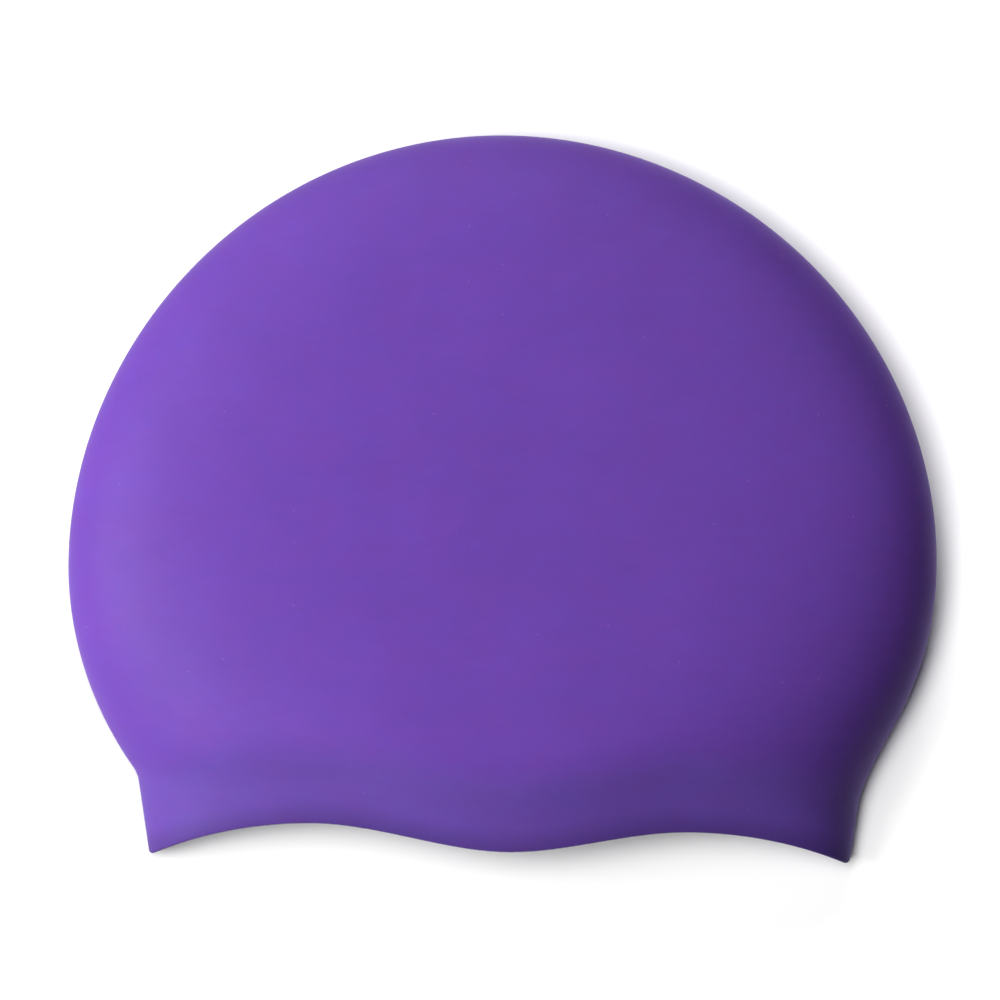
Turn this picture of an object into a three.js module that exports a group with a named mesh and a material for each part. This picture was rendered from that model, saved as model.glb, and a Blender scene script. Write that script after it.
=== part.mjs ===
// Swim cap moulded in one piece of silicone, lying on its side on a table.
// Units are millimetres. +Z is up from the table, +Y points to the top of the crown, and the mouth opens towards -Y.
// The cap rests half flat: one wall lies on the table, the other arches over it, and a soft fold joins the two
// round the crown and down both sides. The folds end in two tips at the mouth, the forehead's and the nape's.
import * as THREE from "three";

// Outline, as seen from above
const capWidth = 225; // fold to fold along the widest line
const crownRise = 111.8; // widest line to the top of the crown
const skirtDrop = 77.5; // widest line to the lower tip
const mouthWidth = 182.35; // tip to tip
const mouthShift = -0.77; // middle of the mouth, to the right of the crown's middle
const crownLean = 0.3; // top of the crown, to the right of the middle of the widest line
const crownFlats = 0.0038; // share by which the crown is flatter than an ellipse, between its top and its sides
const flatsTurn = 9; // degrees by which the flatter stretches lie to the left of the middle of each quarter

// Heights above the table
const capHeight = 36; // top of the upper wall
const foldHeight = 17; // fold round the crown
const tipHeight = 4.5; // fold at the tips

// Band above the rim, where the upper wall slopes down to the mouth
const bandHeight = 20;
const bandSlope = 24; // degrees
const bandFlare = 0.14; // how fast the cap widens above the tips
const shoulderLength = 12; // length over which the upper wall bends into the slope

// Curl of the lower wall, from the part that lies flat up to the fold
const crownCurl = 28;
const tipCurl = 7;
const lowerRimSetback = 2; // how far the rim on the table lies behind the upper rim
const setbackFade = 4; // the higher, the closer to the rim a setback ends

// Wall
const crownWall = 0.7;
const rimWall = 1.1;
const rimThickening = 8; // length over which the wall grows thicker towards the rim

// Roundness of the upper wall: 2 is an ellipse, and more is flatter on top
const crownFullness = 5.5;
const rimFullness = 2.4;
const changeStart = 22; // height over the widest line where the walls start to change from the crown to the mouth

// Sides, where the round of the crown meets the straight band at a notch. The height of the notch above the tip, the
// length of the bend in it and the radius of the tip are shares of bandHeight. Turn is how far the round has closed at
// the notch, as the sine of its angle.
const sides = {
  left: { sign: -1, notchRise: 1.05, turn: 0.543, notchBend: 0.085, tipRadius: 0.045 },
  right: { sign: 1, notchRise: 1.195, turn: 0.5605, notchBend: 0.7, tipRadius: 0.07 },
};

// Rim from tip to tip: place as a share of half the mouth's width, and drop as a share of skirtDrop
const rimLine = [
  { name: "left tip", across: -1, drop: 0.965 },
  { name: "left arch", across: -0.53, drop: 0.855 },
  { name: "ear lobe", across: 0.03, drop: 0.951 },
  { name: "right arch", across: 0.515, drop: 0.886 },
  { name: "right tip", across: 1, drop: 1 },
];

// Fineness of the mesh
const pointsAround = 76;
const skirtRings = 13;
const crownRings = 17;
const ringCrowding = 1.25; // above 1 the rings of the skirt stand closer together towards the rim
const rimSteps = 3;

const halfWidth = capWidth / 2;
const mixed = THREE.MathUtils.lerp;
const clamped = (x) => THREE.MathUtils.clamp(x, 0, 1);
const smoothed = (x) => THREE.MathUtils.smoothstep(x, 0, 1);

// Zero below 0 and x above it, with the corner rounded over a length
function softRamp(x, length) {
  if (Math.abs(x) >= length / 2) return Math.max(0, x);
  return (x + length / 2) ** 2 / (2 * length);
}

// How far the rim's edge lies below the widest line. The inner stretches are waves and the outer two run out to the tips.
function rimDrop(across) {
  const last = rimLine.length - 2;
  const at = Math.min(last, Math.max(0, rimLine.findLastIndex((knot) => knot.across <= across)));
  const from = at === 0 ? rimLine[1] : rimLine[at];
  const to = at === 0 ? rimLine[0] : rimLine[at + 1];
  const along = clamped((across - from.across) / (to.across - from.across));
  const eased = at === 0 || at === last ? along ** 2 : smoothed(along);
  return skirtDrop * mixed(from.drop, to.drop, eased);
}

// Half the width of the cap on one side, a distance below the widest line
function sideReach(side, below) {
  const tipReach = mouthWidth / 2 + side.sign * mouthShift;
  const tipDrop = rimDrop(side.sign);
  const notchRise = side.notchRise * bandHeight;
  const closing = (share) => 1 - Math.sqrt(Math.max(0, 1 - (side.turn * share) ** 2));
  const closed = closing(below / (tipDrop - notchRise)) / closing(1);
  const round = mixed(halfWidth, tipReach + notchRise * bandFlare, closed);
  const band = tipReach + (tipDrop - below) * bandFlare;
  return band + softRamp(round - band, side.notchBend * bandHeight);
}

// How much nearer to the middle the crown lies than an ellipse, in a direction seen from above
function crownShare(direction) {
  const turned = THREE.MathUtils.degToRad(flatsTurn);
  return 1 - (crownFlats * (Math.cos(4 * turned) - Math.cos(4 * (direction - turned)))) / 2;
}

// How far the rim stands back from its line: round the corner of the tip, and all along the wall on the table
function rimSetback(across, lower) {
  const side = across < 0 ? sides.left : sides.right;
  const radius = side.tipRadius * bandHeight;
  if (lower) return mixed(lowerRimSetback, radius, across ** 2);
  const fromFold = (1 - Math.abs(across)) * (mouthWidth / 2);
  return radius - Math.sqrt(radius ** 2 - Math.max(0, radius - fromFold) ** 2);
}

// A point of the outer surface. The angle runs from the right fold over the upper wall to the left fold and back along
// the table. The station runs from 0 at the rim over 1 at the widest line to 2 at the top of the crown.
function outerPoint(angle, station) {
  const across = Math.cos(angle);
  const lower = Math.sin(angle) < 0;
  const down = Math.max(0, 1 - station); // 1 at the rim
  const turn = Math.max(0, station - 1) * (Math.PI / 2); // a right angle at the top of the crown

  const dropHere = down * (rimDrop(across) - rimWall / 2);
  const reach = { left: sideReach(sides.left, dropHere), right: sideReach(sides.right, dropHere) };
  const middle = (reach.right - reach.left) / 2;
  const share = crownShare(Math.atan2(Math.sin(turn), across * Math.cos(turn)));
  const fromMiddle = middle + (across * (reach.left + reach.right)) / 2;
  const x = share * fromMiddle * Math.cos(turn) + crownLean * Math.sin(turn);
  const y = share * crownRise * Math.sin(turn) - dropHere + rimSetback(across, lower) * down ** setbackFade;

  const outward = Math.hypot(across * Math.cos(turn), Math.sin(turn)); // 0 in the middle, 1 on the fold
  const towardsRim = smoothed((changeStart - y) / (changeStart + rimDrop(across)));
  const fold = mixed(foldHeight, tipHeight, towardsRim);
  if (lower) {
    const curl = mixed(crownCurl, tipCurl, towardsRim) / halfWidth;
    const climb = clamped(1 - (1 - outward) / curl);
    return new THREE.Vector3(x, y, fold * (1 - Math.sqrt(1 - climb ** 2)));
  }
  const fullness = mixed(crownFullness, rimFullness, towardsRim);
  const fromRim = station < 1 ? (1 - down) * rimDrop(across) : Infinity;
  const sink = Math.tan(THREE.MathUtils.degToRad(bandSlope)) * softRamp(bandHeight - fromRim, shoulderLength);
  const arch = Math.sqrt(Math.max(0, 1 - outward ** fullness));
  return new THREE.Vector3(x, y, mixed(fold, capHeight - sink, arch));
}

// The station of a ring
function stationOf(ring) {
  if (ring <= skirtRings) return (ring / skirtRings) ** ringCrowding;
  return 1 + (ring - skirtRings) / crownRings;
}

// Rings of points on the outer surface from the rim up, and the point at the top of the crown that closes them
function outerRings() {
  const rings = [];
  for (let ring = 0; ring < skirtRings + crownRings; ring++) {
    const row = [];
    for (let i = 0; i < pointsAround; i++) {
      row.push(outerPoint((2 * Math.PI * i) / pointsAround, stationOf(ring)));
    }
    rings.push(row);
  }
  return { rings, pole: outerPoint(0, 2) };
}

// The direction out of the wall at a point of a ring, from its four neighbours
function outwardAt(rings, pole, ring, i) {
  const around = rings[ring];
  const next = around[(i + 1) % pointsAround];
  const previous = around[(i + pointsAround - 1) % pointsAround];
  const above = ring + 1 < rings.length ? rings[ring + 1][i] : pole;
  const below = ring > 0 ? rings[ring - 1][i] : around[i];
  const along = new THREE.Vector3().subVectors(next, previous);
  const up = new THREE.Vector3().subVectors(above, below);
  return up.cross(along).normalize();
}

// The inner surface: the outer one moved in by the thickness of the wall
function innerRings({ rings, pole }) {
  const inner = rings.map((row, ring) =>
    row.map((point, i) => {
      const fromRim = point.distanceTo(rings[0][i]);
      const wall = mixed(rimWall, crownWall, smoothed(fromRim / rimThickening));
      return point.clone().addScaledVector(outwardAt(rings, pole, ring, i), -wall);
    }),
  );
  return { rings: inner, pole: pole.clone().setY(pole.y - crownWall) };
}

// Rings that carry the rim from the outer to the inner surface in a half round
function rimRings(outer, inner) {
  const steps = [];
  for (let step = 1; step < rimSteps; step++) {
    const turn = (Math.PI * step) / rimSteps;
    const row = outer[0].map((point, i) => {
      const middle = new THREE.Vector3().lerpVectors(point, inner[0][i], 0.5);
      const outOfMouth = new THREE.Vector3().subVectors(point, outer[1][i]).normalize();
      const radius = middle.distanceTo(point);
      return middle
        .clone()
        .lerp(point, Math.cos(turn))
        .addScaledVector(outOfMouth, radius * Math.sin(turn));
    });
    steps.push(row);
  }
  return steps;
}

// Triangles between a list of rings, closed by a pole at each end
function closedSurface(firstPole, rings, lastPole) {
  const points = [firstPole, ...rings.flat(), lastPole];
  const index = [];
  const at = (ring, i) => 1 + ring * pointsAround + (i % pointsAround);
  const lastRing = rings.length - 1;
  for (let i = 0; i < pointsAround; i++) {
    index.push(0, at(0, i + 1), at(0, i));
    for (let ring = 0; ring < lastRing; ring++) {
      const [a, b] = [at(ring, i), at(ring, i + 1)];
      const [c, d] = [at(ring + 1, i + 1), at(ring + 1, i)];
      index.push(a, b, c, a, c, d);
    }
    index.push(points.length - 1, at(lastRing, i), at(lastRing, i + 1));
  }
  const geometry = new THREE.BufferGeometry().setFromPoints(points);
  geometry.setIndex(index);
  geometry.computeVertexNormals();
  return geometry;
}

// The whole shell, with the middle of its outline over the origin and its flat side on the table
function capGeometry() {
  const outer = outerRings();
  const inner = innerRings(outer);
  const rings = [...outer.rings.toReversed(), ...rimRings(outer.rings, inner.rings), ...inner.rings];
  const geometry = closedSurface(outer.pole, rings, inner.pole);
  geometry.computeBoundingBox();
  const middle = geometry.boundingBox.getCenter(new THREE.Vector3());
  return geometry.translate(-middle.x, -middle.y, -geometry.boundingBox.min.z);
}

const silicone = new THREE.MeshStandardMaterial({ color: 0x6b44ab, roughness: 0.5, metalness: 0 });

const swimCap = new THREE.Group();
const shell = new THREE.Mesh(capGeometry(), silicone);
shell.name = "cap_shell";
swimCap.add(shell);

export default swimCap;
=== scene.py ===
import math

import bpy
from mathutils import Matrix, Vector


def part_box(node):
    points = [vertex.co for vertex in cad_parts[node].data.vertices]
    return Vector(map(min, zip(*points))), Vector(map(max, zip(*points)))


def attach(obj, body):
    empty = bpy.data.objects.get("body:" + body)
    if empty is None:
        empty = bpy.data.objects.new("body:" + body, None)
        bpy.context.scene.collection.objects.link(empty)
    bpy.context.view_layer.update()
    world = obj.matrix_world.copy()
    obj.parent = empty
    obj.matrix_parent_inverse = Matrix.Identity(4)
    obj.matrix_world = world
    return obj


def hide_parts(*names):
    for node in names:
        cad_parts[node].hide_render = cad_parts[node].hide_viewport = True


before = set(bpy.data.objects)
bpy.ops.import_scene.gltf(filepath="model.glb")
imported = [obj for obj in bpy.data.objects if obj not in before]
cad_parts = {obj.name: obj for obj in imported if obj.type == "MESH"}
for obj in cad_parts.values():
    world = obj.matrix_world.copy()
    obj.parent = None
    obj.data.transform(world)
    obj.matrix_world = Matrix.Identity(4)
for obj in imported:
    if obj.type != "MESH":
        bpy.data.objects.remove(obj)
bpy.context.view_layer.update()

mm = 0.001
photoSide = 1000  # pixels


# A number or vector in a node tree. Python's operators on it add the Math nodes.
class Wire:
    def __init__(self, graph, socket):
        self.graph = graph
        self.socket = socket

    def __add__(self, other):
        return self.graph.math("ADD", self, other)

    def __radd__(self, other):
        return self.graph.math("ADD", other, self)

    def __sub__(self, other):
        return self.graph.math("SUBTRACT", self, other)

    def __rsub__(self, other):
        return self.graph.math("SUBTRACT", other, self)

    def __mul__(self, other):
        return self.graph.math("MULTIPLY", self, other)

    def __rmul__(self, other):
        return self.graph.math("MULTIPLY", other, self)

    def __truediv__(self, other):
        return self.graph.math("DIVIDE", self, other)

    def __rtruediv__(self, other):
        return self.graph.math("DIVIDE", other, self)

    def __pow__(self, other):
        return self.graph.math("POWER", self, other)

    # another output of the node that this one comes from
    def sibling(self, name):
        return Wire(self.graph, self.socket.node.outputs[name])


# Adds nodes to one tree
class Graph:
    def __init__(self, tree):
        self.tree = tree

    # settings are set first, then each input gets its value or its link
    def node(self, kind, settings, values, output=0):
        made = self.tree.nodes.new(kind)
        for name, setting in settings.items():
            setattr(made, name, setting)
        for key, value in values.items():
            if isinstance(value, Wire):
                self.tree.links.new(value.socket, made.inputs[key])
            else:
                made.inputs[key].default_value = value
        return Wire(self, made.outputs[output]) if len(made.outputs) else None

    def math(self, operation, first, second=0.0, clamp=False):
        settings = {"operation": operation, "use_clamp": clamp}
        return self.node("ShaderNodeMath", settings, {0: first, 1: second})

    def vector(self, operation, first, second=(0.0, 0.0, 0.0)):
        return self.node("ShaderNodeVectorMath", {"operation": operation}, {0: first, 1: second})


def clamped(x):
    return x.graph.math("ADD", x, 0.0, clamp=True)


def smoothed(x):
    t = clamped(x)
    return t * t * (3 - 2 * t)


def root(x):
    return x.graph.math("SQRT", x)


def larger(x, other):
    return x.graph.math("MAXIMUM", x, other)


def blended(a, b, share):
    return a + (b - a) * share


# 0 below 0 and x above it, with the corner rounded over a length
def softRamp(x, length):
    rounded = x.graph.math("MINIMUM", larger(x + length * 0.5, 0.0), length)
    return rounded * rounded / (length * 2) + larger(x - length * 0.5, 0.0)


# The cap, as the CAD has it
cap = {
    "sizes": {
        "Cap Width": 225 * mm,  # fold to fold
        "Crown Rise": 111.8 * mm,  # widest line to the top of the crown
        "Skirt Drop": 77.5 * mm,  # widest line to the lower tip
        "Mouth Width": 182.35 * mm,
        "Mouth Shift": -0.77 * mm,
        "Crown Lean": 0.3 * mm,  # top of the crown, to the right
        "Crown Flats": 0.0038,  # share by which it is flatter than an ellipse between its top and its sides
        "Flats Turn": math.radians(9),
        "Cap Height": 36 * mm,
        "Fold Height": 17 * mm,
        "Tip Height": 4.5 * mm,
        "Band Height": 20 * mm,
        "Band Slope": math.radians(24),
        "Band Flare": 0.14,
        "Shoulder Length": 12 * mm,
        "Crown Curl": 28 * mm,
        "Tip Curl": 7 * mm,
        "Lower Rim Setback": 2 * mm,
        "Setback Fade": 4.0,  # the higher, the closer to the rim it ends
        "Crown Wall": 0.7 * mm,
        "Rim Wall": 1.1 * mm,
        "Rim Thickening": 8 * mm,
        "Crown Fullness": 5.5,
        "Rim Fullness": 2.4,
        "Change Start": 22 * mm,
    },
    # shares of the band's height, and how far the crown's round has closed at the notch
    "sides": {
        "left": {"sign": -1, "notchRise": 1.05, "turn": 0.543, "notchBend": 0.085, "tipRadius": 0.045},
        "right": {"sign": 1, "notchRise": 1.195, "turn": 0.5605, "notchBend": 0.7, "tipRadius": 0.07},
    },
    # place across the mouth and share of the skirt's drop: tip, arch, ear lobe, arch, tip
    "rimLine": [(-1, 0.965), (-0.53, 0.855), (0.03, 0.951), (0.515, 0.886), (1, 1)],
    "around": 200,
    "rows": 120,  # on each face of the wall
    "rimRows": 8,
    "skirtShare": 0.35,  # of the rows
}


# How far the rim lies below the widest line, at a share of the mouth's width
def rimDropAt(across, size):
    knots = cap["rimLine"]
    share = knots[0][1]
    for number, ((fromPlace, fromDrop), (toPlace, toDrop)) in enumerate(zip(knots, knots[1:])):
        along = clamped((across - fromPlace) / (toPlace - fromPlace))
        if number == 0:
            eased = 1 - (1 - along) ** 2.0
        elif number == len(knots) - 2:
            eased = along ** 2.0
        else:
            eased = smoothed(along)
        share = share + eased * (toDrop - fromDrop)
    return size["Skirt Drop"] * share


# Half the width of the cap on one side, a distance below the widest line
def sideReachAt(below, side, size):
    tipShare = cap["rimLine"][0 if side["sign"] < 0 else -1][1]
    tipReach = size["Mouth Width"] * 0.5 + size["Mouth Shift"] * side["sign"]
    tipDrop = size["Skirt Drop"] * tipShare
    notchRise = size["Band Height"] * side["notchRise"]
    turned = below / (tipDrop - notchRise) * side["turn"]
    closed = (1 - root(larger(1 - turned * turned, 0.0))) / (1 - math.sqrt(1 - side["turn"] ** 2))
    around = blended(size["Cap Width"] * 0.5, tipReach + notchRise * size["Band Flare"], closed)
    band = tipReach + (tipDrop - below) * size["Band Flare"]
    return band + softRamp(around - band, size["Band Height"] * side["notchBend"])


# A group that turns an angle round the cap and a station along it into a point of the outer surface. The angle starts
# at the right fold and passes over the upper wall. The station is 0 at the rim, 1 at the widest line and 2 at the top.
def makeSurfaceGroup():
    tree = bpy.data.node_groups.new("Cap Surface", "GeometryNodeTree")
    for name in ["Angle", "Station", *cap["sizes"]]:
        tree.interface.new_socket(name, in_out="INPUT", socket_type="NodeSocketFloat")
    tree.interface.new_socket("Point", in_out="OUTPUT", socket_type="NodeSocketVector")
    tree.interface.new_socket("From Rim", in_out="OUTPUT", socket_type="NodeSocketFloat")
    graph = Graph(tree)
    angle = graph.node("NodeGroupInput", {}, {})
    station = angle.sibling("Station")
    size = {name: angle.sibling(name) for name in cap["sizes"]}

    across = graph.math("COSINE", angle)
    lower = graph.math("LESS_THAN", graph.math("SINE", angle), 0.0)
    down = larger(1 - station, 0.0)
    turn = larger(station - 1, 0.0) * (math.pi / 2)
    sinTurn = graph.math("SINE", turn)
    cosTurn = graph.math("COSINE", turn)

    rimDrop = rimDropAt(across, size)
    dropHere = down * (rimDrop - size["Rim Wall"] * 0.5)
    left = sideReachAt(dropHere, cap["sides"]["left"], size)
    right = sideReachAt(dropHere, cap["sides"]["right"], size)
    direction = graph.math("ARCTAN2", sinTurn, across * cosTurn)
    flatter = graph.math("COSINE", size["Flats Turn"] * 4) - graph.math("COSINE", (direction - size["Flats Turn"]) * 4)
    crownShare = 1 - size["Crown Flats"] * 0.5 * flatter
    x = crownShare * ((right - left) + across * (left + right)) * 0.5 * cosTurn + size["Crown Lean"] * sinTurn

    # the rim stands back round the corner of each tip, and all along the wall on the table
    onLeft = graph.math("LESS_THAN", across, 0.0)
    tipShare = blended(cap["sides"]["right"]["tipRadius"], cap["sides"]["left"]["tipRadius"], onLeft)
    radius = size["Band Height"] * tipShare
    fromFold = (1 - graph.math("ABSOLUTE", across)) * size["Mouth Width"] * 0.5
    cornerCut = larger(radius - fromFold, 0.0)
    upperSetback = radius - root(larger(radius * radius - cornerCut * cornerCut, 0.0))
    lowerSetback = blended(size["Lower Rim Setback"], radius, across * across)
    setback = blended(upperSetback, lowerSetback, lower)
    y = crownShare * size["Crown Rise"] * sinTurn - dropHere + setback * down ** size["Setback Fade"]

    acrossNow = across * cosTurn
    outward = root(acrossNow * acrossNow + sinTurn * sinTurn)
    towardsRim = smoothed((size["Change Start"] - y) / (size["Change Start"] + rimDrop))
    fold = blended(size["Fold Height"], size["Tip Height"], towardsRim)

    curl = blended(size["Crown Curl"], size["Tip Curl"], towardsRim) / (size["Cap Width"] * 0.5)
    climb = clamped(1 - (1 - outward) / curl)
    lowerHeight = fold * (1 - root(larger(1 - climb * climb, 0.0)))

    fullness = blended(size["Crown Fullness"], size["Rim Fullness"], towardsRim)
    fromRim = (1 - down) * rimDrop
    onSkirt = graph.math("LESS_THAN", station, 1.0)
    slope = graph.math("TANGENT", size["Band Slope"])
    sink = onSkirt * slope * softRamp(size["Band Height"] - fromRim, size["Shoulder Length"])
    arch = root(larger(1 - outward ** fullness, 0.0))
    upperHeight = blended(fold, size["Cap Height"] - sink, arch)

    z = blended(upperHeight, lowerHeight, lower)
    point = graph.node("ShaderNodeCombineXYZ", {}, {"X": x, "Y": y, "Z": z})
    distance = fromRim + (1 - onSkirt) * size["Crown Rise"]
    graph.node("NodeGroupOutput", {}, {"Point": point, "From Rim": distance})
    return tree


# The tree of the cap: a grid whose rows run from the crown down the outside, round the rim and up the inside
def makeCapTree(material):
    surface = makeSurfaceGroup()
    tree = bpy.data.node_groups.new("Swim Cap", "GeometryNodeTree")
    tree.interface.new_socket("Geometry", in_out="OUTPUT", socket_type="NodeSocketGeometry")
    for name in ["Around", "Rows", "Rim Rows"]:
        tree.interface.new_socket(name, in_out="INPUT", socket_type="NodeSocketInt")
    for name in ["Crown At", *cap["sizes"]]:
        tree.interface.new_socket(name, in_out="INPUT", socket_type="NodeSocketFloat")
    graph = Graph(tree)
    around = graph.node("NodeGroupInput", {}, {})
    rows = around.sibling("Rows")
    rimRows = around.sibling("Rim Rows")
    size = {name: around.sibling(name) for name in cap["sizes"]}
    allRows = rows * 2 + rimRows

    grid = graph.node(
        "GeometryNodeMeshGrid",
        {},
        {"Size X": 1.0, "Size Y": 1.0, "Vertices X": around + 1, "Vertices Y": allRows + 1},
    )
    place = graph.node("ShaderNodeSeparateXYZ", {}, {0: graph.node("GeometryNodeInputPosition", {}, {})})
    angle = (place + 0.5) * (2 * math.pi)
    row = (place.sibling("Y") + 0.5) * allRows

    up = 1 - clamped(graph.math("MINIMUM", row, allRows - row) / rows)
    skirt = cap["skirtShare"]
    station = clamped(up / skirt) + larger((up - skirt) / (1 - skirt), 0.0)
    rimTurn = clamped((row - rows) / rimRows) * math.pi

    def pointAt(angleHere, stationHere):
        values = {"Angle": angleHere, "Station": stationHere, **size}
        return graph.node("GeometryNodeGroup", {"node_tree": surface}, values)

    point = pointAt(angle, station)
    step = 0.004  # to each side, for the directions along the surface
    aroundWay = graph.vector("SUBTRACT", pointAt(angle + step, station), pointAt(angle - step, station))
    upWay = graph.vector("SUBTRACT", pointAt(angle, station + step), pointAt(angle, station - step))
    upWay = graph.vector("NORMALIZE", upWay)
    outWay = graph.vector("NORMALIZE", graph.vector("CROSS_PRODUCT", upWay, graph.vector("NORMALIZE", aroundWay)))
    atTop = graph.math("GREATER_THAN", station, 1.9999)
    outWay = graph.node("ShaderNodeMix", {"data_type": "VECTOR"}, {0: atTop, 4: outWay, 5: (0.0, 1.0, 0.0)}, 1)

    wall = blended(size["Rim Wall"], size["Crown Wall"], smoothed(point.sibling("From Rim") / size["Rim Thickening"]))
    inwards = wall * 0.5 * (graph.math("COSINE", rimTurn) - 1)
    beyond = wall * -0.5 * graph.math("SINE", rimTurn)
    moved = graph.node("ShaderNodeVectorMath", {"operation": "MULTIPLY_ADD"}, {0: outWay, 1: inwards, 2: point})
    moved = graph.node("ShaderNodeVectorMath", {"operation": "MULTIPLY_ADD"}, {0: upWay, 1: beyond, 2: moved})
    shift = graph.node("ShaderNodeCombineXYZ", {}, {"Y": around.sibling("Crown At") - size["Crown Rise"]})
    moved = graph.vector("ADD", moved, shift)

    fromRim = {"Geometry": grid, "Name": "fromRim", "Value": point.sibling("From Rim")}
    shell = graph.node("GeometryNodeStoreNamedAttribute", {"data_type": "FLOAT", "domain": "POINT"}, fromRim)
    shell = graph.node("GeometryNodeSetPosition", {}, {"Geometry": shell, "Position": moved})
    shell = graph.node("GeometryNodeMergeByDistance", {}, {"Geometry": shell, "Distance": 0.01 * mm})
    shell = graph.node("GeometryNodeSetShadeSmooth", {}, {"Geometry": shell, "Shade Smooth": True})
    shell = graph.node("GeometryNodeRealizeInstances", {}, {"Geometry": shell})
    shell = graph.node("GeometryNodeSetMaterial", {}, {"Geometry": shell, "Material": material})
    graph.node("NodeGroupOutput", {}, {"Geometry": shell})
    return tree


# Puts a tree on an empty mesh, evaluates it and keeps the result as a plain mesh
def meshFromTree(name, tree, inputs):
    holder = bpy.data.objects.new(name + "_tree", bpy.data.meshes.new(name + "_tree"))
    bpy.context.scene.collection.objects.link(holder)
    modifier = holder.modifiers.new(name, "NODES")
    modifier.node_group = tree
    for item in tree.interface.items_tree:
        if item.in_out == "INPUT":
            modifier[item.identifier] = inputs[item.name]
    evaluated = holder.evaluated_get(bpy.context.evaluated_depsgraph_get())
    mesh = bpy.data.meshes.new_from_object(evaluated)
    mesh.name = name
    bpy.data.objects.remove(holder)
    made = bpy.data.objects.new(name, mesh)
    bpy.context.scene.collection.objects.link(made)
    return made


# The pigment lies in faint clouds and streaks, as silicone shows when it is pressed in a mould. The band and the rim
# also get painted cool light and painted shade
silicone = {
    "crownColour": (0.0850, 0.0320, 0.2320, 1.0),
    "bandCoolLightColour": (0.0800, 0.0375, 0.2260, 1.0),  # painted cool light: greyer on the band, which slopes down towards the rim
    "bandEnd": 19 * mm,  # distance from the rim
    "bandFade": 9 * mm,
    "bandWander": 3 * mm,  # how far its end wanders up and down
    "rimPaintedShade": 0.27,  # painted shade: how much darker the colour is along the rim, where the band slopes away from the light
    "rimPaintedShadeWidth": 7 * mm,
    "pinkerColour": (1.045, 0.965, 0.975, 1.0),
    "bluerColour": (0.955, 1.035, 1.025, 1.0),
    "cloudWidth": 9 * mm,
    "cloudStretch": 1.2,  # along X
    "cloudContrast": 0.9,
    "fleckWidth": 1.5 * mm,
    "fleckStretch": 1.3,
    "fleckContrast": 0.7,
    "shade": {
        "patches": {"width": 26 * mm, "stretch": 1.0, "depth": 0.08},
        "streaks": {"width": 3 * mm, "stretch": 3.0, "depth": 0.05},
        "grain": {"width": 0.45 * mm, "stretch": 1.0, "depth": 0.085},
    },
    "speckSpacing": 9 * mm,
    "speckShare": 0.06,  # of the places where a speck of dust could lie
    "speckRadius": 0.24 * mm,
    "speckColour": (0.115, 0.058, 0.265, 1.0),
    "roughness": 0.52,
    "roughnessChange": 0.08,
    "specular": 0.09,
    "waveWidth": 24 * mm,
    "waveHeight": 0.10 * mm,
    "grainHeight": 0.006 * mm,
}


# Noise from -1 to 1 at places given in metres, with patches of a width and drawn out along X
def noiseAt(place, width, stretch=1.0, detail=2.0):
    graph = place.graph
    scaled = graph.vector("MULTIPLY", place, (1 / (width * stretch), 1 / width, 1 / width))
    settings = {"noise_dimensions": "3D", "normalize": True}
    made = graph.node("ShaderNodeTexNoise", settings, {"Vector": scaled, "Scale": 1.0, "Detail": detail}, "Fac")
    return (made - 0.5) * 2


def mixed(first, second, share, kind="MIX"):
    graph = next(value.graph for value in (first, second, share) if isinstance(value, Wire))
    settings = {"data_type": "RGBA", "blend_type": kind, "clamp_factor": True}
    return graph.node("ShaderNodeMix", settings, {0: share, 6: first, 7: second}, 2)


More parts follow.
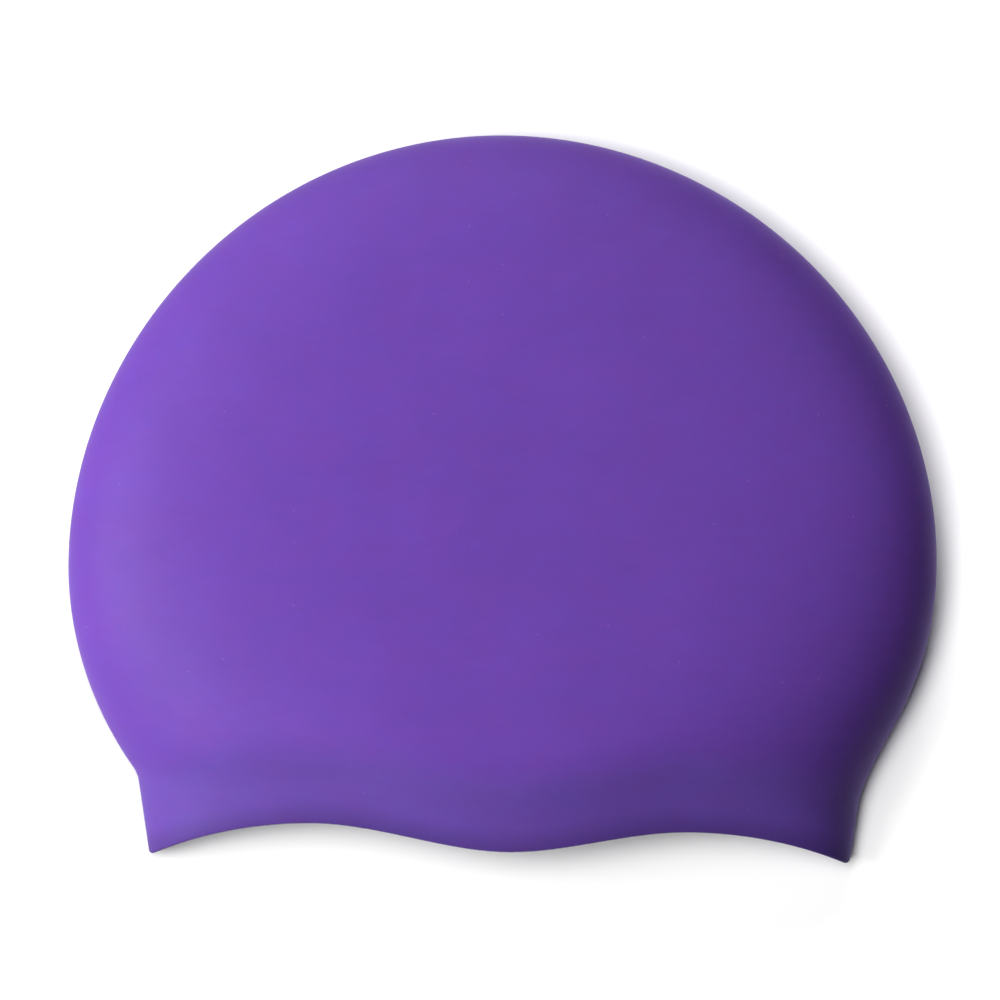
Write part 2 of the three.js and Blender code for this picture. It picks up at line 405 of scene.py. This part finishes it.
def makeSilicone():
    material = bpy.data.materials.new("purple silicone")
    material.use_nodes = True
    material.node_tree.nodes.clear()
    graph = Graph(material.node_tree)
    place = graph.node("ShaderNodeTexCoord", {}, {}, "Object")
    fromRim = graph.node("ShaderNodeAttribute", {"attribute_name": "fromRim"}, {}, "Fac")

    wander = noiseAt(place, silicone["cloudWidth"]) * silicone["bandWander"]
    # painted cool light: the band near the rim is tinted greyer, as cool fill light shows on its downward slope
    coolLightShare = smoothed((silicone["bandEnd"] + wander - fromRim) / silicone["bandFade"] + 0.5)
    colour = mixed(silicone["crownColour"], silicone["bandCoolLightColour"], coolLightShare)
    clouds = noiseAt(place, silicone["cloudWidth"], silicone["cloudStretch"], detail=4.0) * silicone["cloudContrast"]
    flecks = noiseAt(place, silicone["fleckWidth"], silicone["fleckStretch"]) * silicone["fleckContrast"]
    hue = clamped(clouds + flecks + 0.5)
    colour = mixed(colour, mixed(silicone["bluerColour"], silicone["pinkerColour"], hue), 1.0, "MULTIPLY")
    # painted shade: darker along the rim, where the band slopes away from the light; the noise layers after it are the
    # pigment's own tone
    shade = 1 - smoothed(1 - fromRim / silicone["rimPaintedShadeWidth"]) * silicone["rimPaintedShade"]
    for number, layer in enumerate(silicone["shade"].values()):
        # each layer has a stretch of the noise to itself
        shifted = graph.vector("ADD", place, (number * 0.31, number * 0.17, number * 0.23))
        shade = noiseAt(shifted, layer["width"], layer["stretch"]) * layer["depth"] + shade
    shades = graph.node("ShaderNodeCombineColor", {}, {"Red": shade, "Green": shade, "Blue": shade})
    colour = mixed(colour, shades, 1.0, "MULTIPLY")

    cells = graph.node(
        "ShaderNodeTexVoronoi",
        {"voronoi_dimensions": "2D", "feature": "F1"},
        {"Vector": place, "Scale": 1 / silicone["speckSpacing"]},
        "Distance",
    )
    chance = graph.node("ShaderNodeSeparateColor", {}, {"Color": cells.sibling("Color")})
    chosen = graph.math("LESS_THAN", chance, silicone["speckShare"])
    radius = silicone["speckRadius"] / silicone["speckSpacing"]
    speck = chosen * clamped((radius * 1.5 - cells) / radius)
    colour = mixed(colour, silicone["speckColour"], speck)

    roughness = silicone["roughness"] + noiseAt(place, silicone["cloudWidth"], detail=3.0) * silicone["roughnessChange"]
    waves = noiseAt(place, silicone["waveWidth"], detail=1.0) * silicone["waveHeight"]
    grain = noiseAt(place, silicone["shade"]["grain"]["width"]) * silicone["grainHeight"]
    bump = graph.node("ShaderNodeBump", {}, {"Strength": 1.0, "Distance": 1.0, "Height": waves + grain})
    shader = graph.node(
        "ShaderNodeBsdfPrincipled",
        {},
        {
            "Base Color": colour,
            "Roughness": roughness,
            "Specular IOR Level": silicone["specular"],
            "Normal": bump,
        },
    )
    graph.node("ShaderNodeOutputMaterial", {}, {"Surface": shader})
    return material


def makeCap():
    tree = makeCapTree(makeSilicone())
    low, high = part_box("cap_shell")
    inputs = {
        "Around": cap["around"],
        "Rows": cap["rows"],
        "Rim Rows": cap["rimRows"],
        "Crown At": high[1],
        **cap["sizes"],
    }
    made = meshFromTree("cap_silicone", tree, inputs)
    print("cap:", len(made.data.polygons), "faces")
    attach(made, "root")
    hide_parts("cap_shell")
    return made


# Softboxes aimed at the cap. Azimuth turns from +X, the photo's right, to +Y, its top.
studio = {
    "floorSize": 4.0,
    "floorColour": (0.9, 0.9, 0.9, 1.0),
    "floorRoughness": 0.9,
    "floorDepth": 0.2 * mm,  # below the cap, so the two don't share a plane
    "capLights": {
        "left back low": {"azimuth": 120, "elevation": 20, "distance": 0.9, "power": 1.4, "size": 0.5},
        "back low": {"azimuth": 90, "elevation": 20, "distance": 0.9, "power": 1.4, "size": 0.5},
        "left front": {"azimuth": 210, "elevation": 40, "distance": 0.9, "power": 4.15, "size": 0.5},
        "left": {"azimuth": 180, "elevation": 40, "distance": 0.9, "power": 9.3, "size": 0.5},
        "left back": {"azimuth": 120, "elevation": 40, "distance": 0.9, "power": 1.45, "size": 0.5},
        "back": {"azimuth": 90, "elevation": 40, "distance": 0.9, "power": 2.25, "size": 0.5},
        "left front near": {"azimuth": 210, "elevation": 40, "distance": 0.45, "power": 0.9, "size": 0.25},
        "right back near": {"azimuth": 45, "elevation": 50, "distance": 0.45, "power": 0.33, "size": 0.25},
    },
    "floorLights": {
        "floor top left": {"azimuth": 150, "elevation": 80, "distance": 0.9, "power": 3.1, "size": 0.4},
        "floor top front": {"azimuth": 210, "elevation": 80, "distance": 0.9, "power": 5.1, "size": 0.4},
        "floor left": {"azimuth": 180, "elevation": 45, "distance": 0.9, "power": 3.1, "size": 0.4},
        "floor back": {"azimuth": 90, "elevation": 30, "distance": 0.9, "power": 7.1, "size": 0.4},
    },
    "lightColour": (1.0, 1.0, 1.0),
}


def makeFloor():
    half = studio["floorSize"] / 2
    low = -studio["floorDepth"]
    mesh = bpy.data.meshes.new("floor")
    corners = [(-half, -half, low), (half, -half, low), (half, half, low), (-half, half, low)]
    mesh.from_pydata(corners, [], [(0, 1, 2, 3)])
    floor = bpy.data.objects.new("floor", mesh)
    bpy.context.scene.collection.objects.link(floor)
    material = bpy.data.materials.new("white floor")
    material.use_nodes = True
    shader = material.node_tree.nodes["Principled BSDF"]
    shader.inputs["Base Color"].default_value = studio["floorColour"]
    shader.inputs["Roughness"].default_value = studio["floorRoughness"]
    shader.inputs["Specular IOR Level"].default_value = 0.0
    mesh.materials.append(material)
    return floor


# Softboxes that light one object alone, as flags and a lit table do in a studio
def makeSoftboxes(boxes, lit):
    receivers = bpy.data.collections.new("lit by " + " and ".join(boxes))
    receivers.objects.link(lit)
    for name, box in boxes.items():
        light = bpy.data.lights.new(name, "AREA")
        light.shape = "SQUARE"
        light.size = box["size"]
        light.energy = box["power"]
        light.color = studio["lightColour"]
        azimuth = math.radians(box["azimuth"])
        elevation = math.radians(box["elevation"])
        across = math.cos(elevation)
        direction = Vector((math.cos(azimuth) * across, math.sin(azimuth) * across, math.sin(elevation)))
        lamp = bpy.data.objects.new(name, light)
        lamp.location = direction * box["distance"]
        lamp.rotation_euler = direction.to_track_quat("Z", "Y").to_euler()
        lamp.light_linking.receiver_collection = receivers
        bpy.context.scene.collection.objects.link(lamp)
    print("studio:", len(boxes), "softboxes on", lit.name)


def makeWorld():
    world = bpy.data.worlds.new("studio")
    world.use_nodes = True
    world.node_tree.nodes["Background"].inputs["Strength"].default_value = 0.0
    bpy.context.scene.world = world
    bpy.context.scene.view_settings.view_transform = "Standard"


# Straight down, as the photo looks at the cap, from far off through a long lens
camera = {
    "distance": 2.5,
    "widestLinePixels": 869,
    "centre": (-0.65 * mm, -0.08 * mm),
    "sensor": 36.0,
}


def makeCamera():
    foldHeight = cap["sizes"]["Fold Height"]
    frameWidth = cap["sizes"]["Cap Width"] * photoSide / camera["widestLinePixels"]
    data = bpy.data.cameras.new("camera")
    data.sensor_width = camera["sensor"]
    data.lens = camera["sensor"] * camera["distance"] / frameWidth
    view = bpy.data.objects.new("camera", data)
    view.location = (*camera["centre"], foldHeight + camera["distance"])
    bpy.context.scene.collection.objects.link(view)
    bpy.context.scene.camera = view


makeCamera()
makeWorld()
makeSoftboxes(studio["floorLights"], makeFloor())
makeSoftboxes(studio["capLights"], makeCap())
